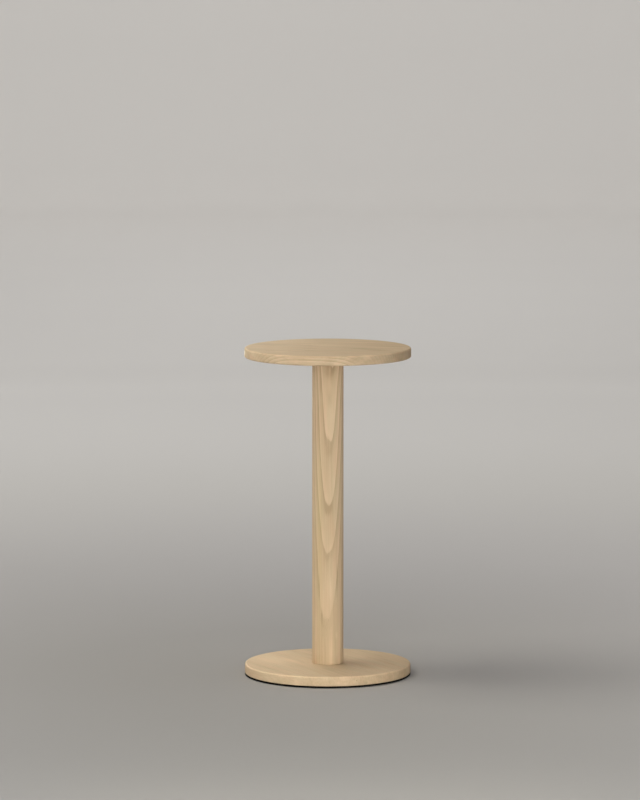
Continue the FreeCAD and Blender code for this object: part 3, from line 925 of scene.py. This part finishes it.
world = bpy.data.worlds.new("studio")
world.use_nodes = True
background = world.node_tree.nodes["Background"]
background.inputs["Color"].default_value = (1.0, 0.985, 0.96, 1.0)
background.inputs["Strength"].default_value = 0.113
bpy.context.scene.world = world


# the gridded panels leave no bright pool on the sweep
table_only = bpy.data.collections.new("not_lit_from_behind")
table_only.objects.link(sweep)
table_only.collection_objects[0].light_linking.link_state = "EXCLUDE"


def area_light(name, place, aim, size, power, spread=180.0, colour=(1.0, 1.0, 1.0), skip_sweep=False):
    data = bpy.data.lights.new(name, "AREA")
    data.shape = "RECTANGLE"
    data.size, data.size_y = size
    data.energy = power
    data.spread = math.radians(spread)
    data.color = colour
    o = bpy.data.objects.new(name, data)
    o.location = place
    o.rotation_mode = "QUATERNION"
    o.rotation_quaternion = (Vector(aim) - Vector(place)).to_track_quat("-Z", "Y")
    o.visible_camera = False
    if skip_sweep:
        o.light_linking.receiver_collection = table_only
    bpy.context.scene.collection.objects.link(o)
    return o


# a low front window, a small panel near the floor in front, a high panel over the left side and three small gridded
# panels behind and on the left, all soft; two rings of panels light the sweep
area_light("front", (0.0, -3.169, 0.775), (0.0, 0.0, 0.3), (1.8, 1.8), 36.4, 180.0,
           (0.975, 1.0, 0.913))
area_light("front_left", (-1.339, -2.872, 0.775), (0.0, 0.0, 0.3), (1.8, 1.8), 8.08,
           180.0, (0.898, 0.893, 1.0))
area_light("front_low", (0.0, -1.8, 0.22), (0.0, 0.0, 0.02), (0.9, 0.3), 1.86, 70.0, (1.0, 0.953, 0.772))
area_light("high_left", (-0.9, 0.0, 2.2), (0.0, 0.0, 0.3), (1.2, 1.2), 19.9, 180.0, (1.0, 0.981, 0.835))
area_light("back_left", (-0.75, 1.4, 0.55), (0.0, 0.0, 0.45), (0.8, 0.6), 2.45, 100.0, (1.0, 0.986, 0.776), True)
area_light("back", (-0.5, 1.6, 0.9), (0.0, 0.0, 0.5), (1.0, 0.8), 2.65, 100.0, (1.0, 0.913, 0.816), True)
area_light("side_left", (-1.790, 1.034, 1.082), (0.0, 0.0, 0.3), (0.8, 0.8), 2.58, 100.0, (1.0, 0.966, 0.842), True)
for i, (floor_w, wall_w) in enumerate(((52, 80), (36, 80), (36, 50), (108, 112), (80, 76), (70, 64))):
    t = math.radians(60 * i - 90)
    area_light(f"floor_wash_{i}", (2.5 * math.cos(t), 2.5 * math.sin(t), 4.6), (9 * math.cos(t), 9 * math.sin(t), 0.0),
               (2.5, 2.5), floor_w, 165.0)
    area_light(f"wall_wash_{i}", (6.5 * math.cos(t), 6.5 * math.sin(t), 4.6), (12.5 * math.cos(t), 12.5 * math.sin(t), 2.5),
               (2.5, 2.5), wall_w)

# ---------------------------------------------------------------- camera
camera = bpy.data.cameras.new("camera")
camera.sensor_fit = "AUTO"
camera.sensor_width = 36.0
camera.lens = 36.0 * 4705.5 / 800.0
camera.clip_start, camera.clip_end = 0.1, 60.0
eye = bpy.data.objects.new("camera", camera)
eye.location = (-0.0143, -8.560, 1.536)
eye.rotation_euler = (math.radians(90.0 - 6.8427), 0.0, 0.0)
bpy.context.scene.collection.objects.link(eye)
bpy.context.scene.camera = eye

bpy.context.scene.view_settings.view_transform = "Standard"
bpy.context.scene.view_settings.look = "None"
bpy.context.scene.view_settings.exposure = 0.0
bpy.context.scene.view_settings.gamma = 1.0
